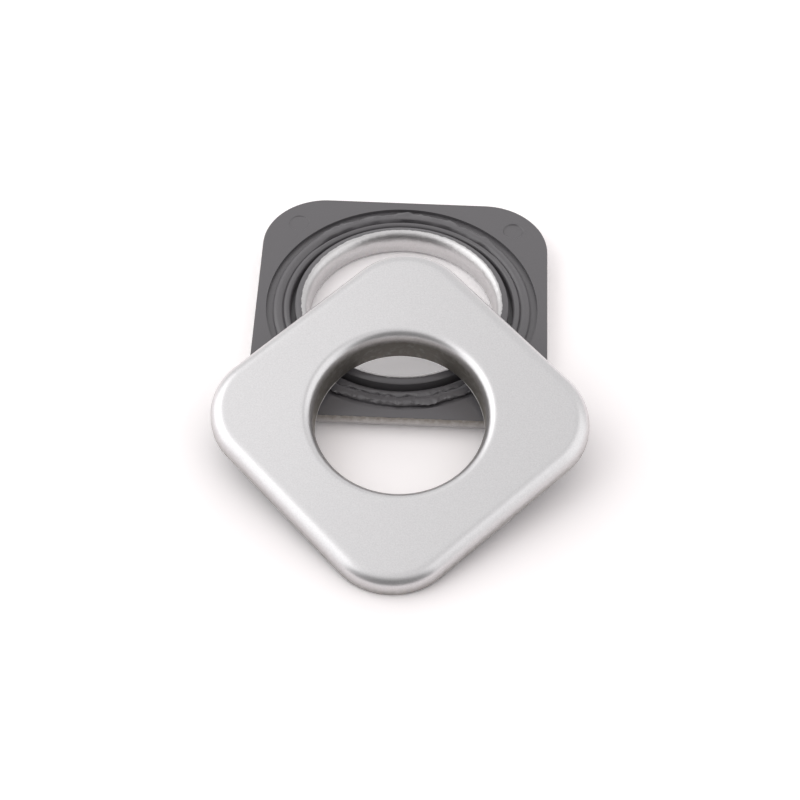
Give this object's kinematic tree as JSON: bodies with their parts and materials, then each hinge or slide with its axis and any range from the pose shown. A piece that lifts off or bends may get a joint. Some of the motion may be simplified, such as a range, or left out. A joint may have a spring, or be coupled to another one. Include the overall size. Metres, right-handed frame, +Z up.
{
  "type": "square curtain eyelet",
  "caption": "Square snap-together curtain eyelet shown apart: satin silver front half with barrel, leaning on the upturned grey back half with its beaded bore.",
  "frame": {"origin": "on the surface that the eyelet lies on, on the axis of the back half's bore", "axes": "+Z up, along the back half's bore and away from its show face; X and Y along its straight sides; the front half lies towards -Y"},
  "size_m": [0.088, 0.1194, 0.0219],
  "materials": {
    "grey_plastic": "dark grey moulded plastic, painted satin silver on the show side and in the bore",
    "silver_paint": "satin silver paint over dark grey moulded plastic, grey below"
  },
  "bodies": {
    "root": {"back_half": "grey_plastic", "front_half": "silver_paint"}
  },
  "joints": []
}
